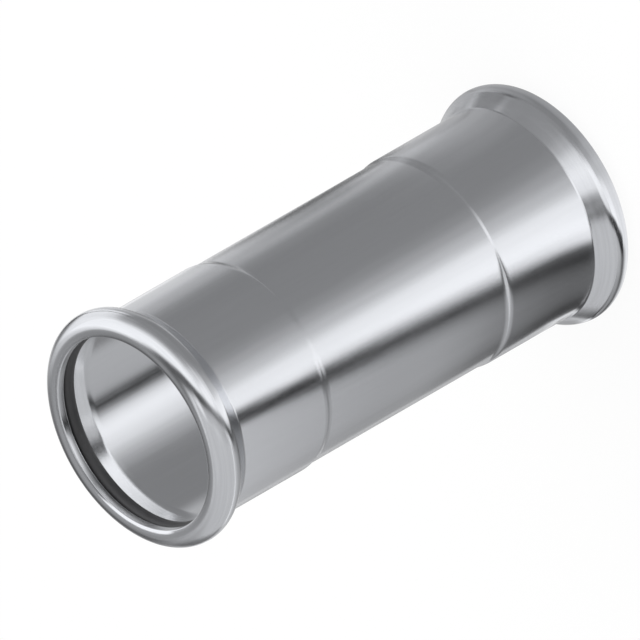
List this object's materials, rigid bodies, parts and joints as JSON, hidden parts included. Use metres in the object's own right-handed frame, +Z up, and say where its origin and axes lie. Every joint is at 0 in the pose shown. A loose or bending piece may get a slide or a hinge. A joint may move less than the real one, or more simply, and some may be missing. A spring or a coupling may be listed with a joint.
{
  "type": "press fit pipe coupling",
  "caption": "Straight press fit coupling for round steel pipe: a rolled steel tube with a beaded socket at each end, a narrower middle that stops the pipes, and a rubber seal ring in each bead.",
  "frame": {"origin": "centre of the lower mouth plane, on the tube's axis", "axes": "+Z up along the tube's axis; X and Y lie across it and are alike"},
  "size_m": [0.0432, 0.0432, 0.0966],
  "materials": {
    "steel": "drawn and rolled, satin bright",
    "rubber": "matt black, moulded"
  },
  "bodies": {
    "root": {"coupling_body": "steel", "upper_seal_ring": "rubber", "lower_seal_ring": "rubber"}
  },
  "joints": []
}
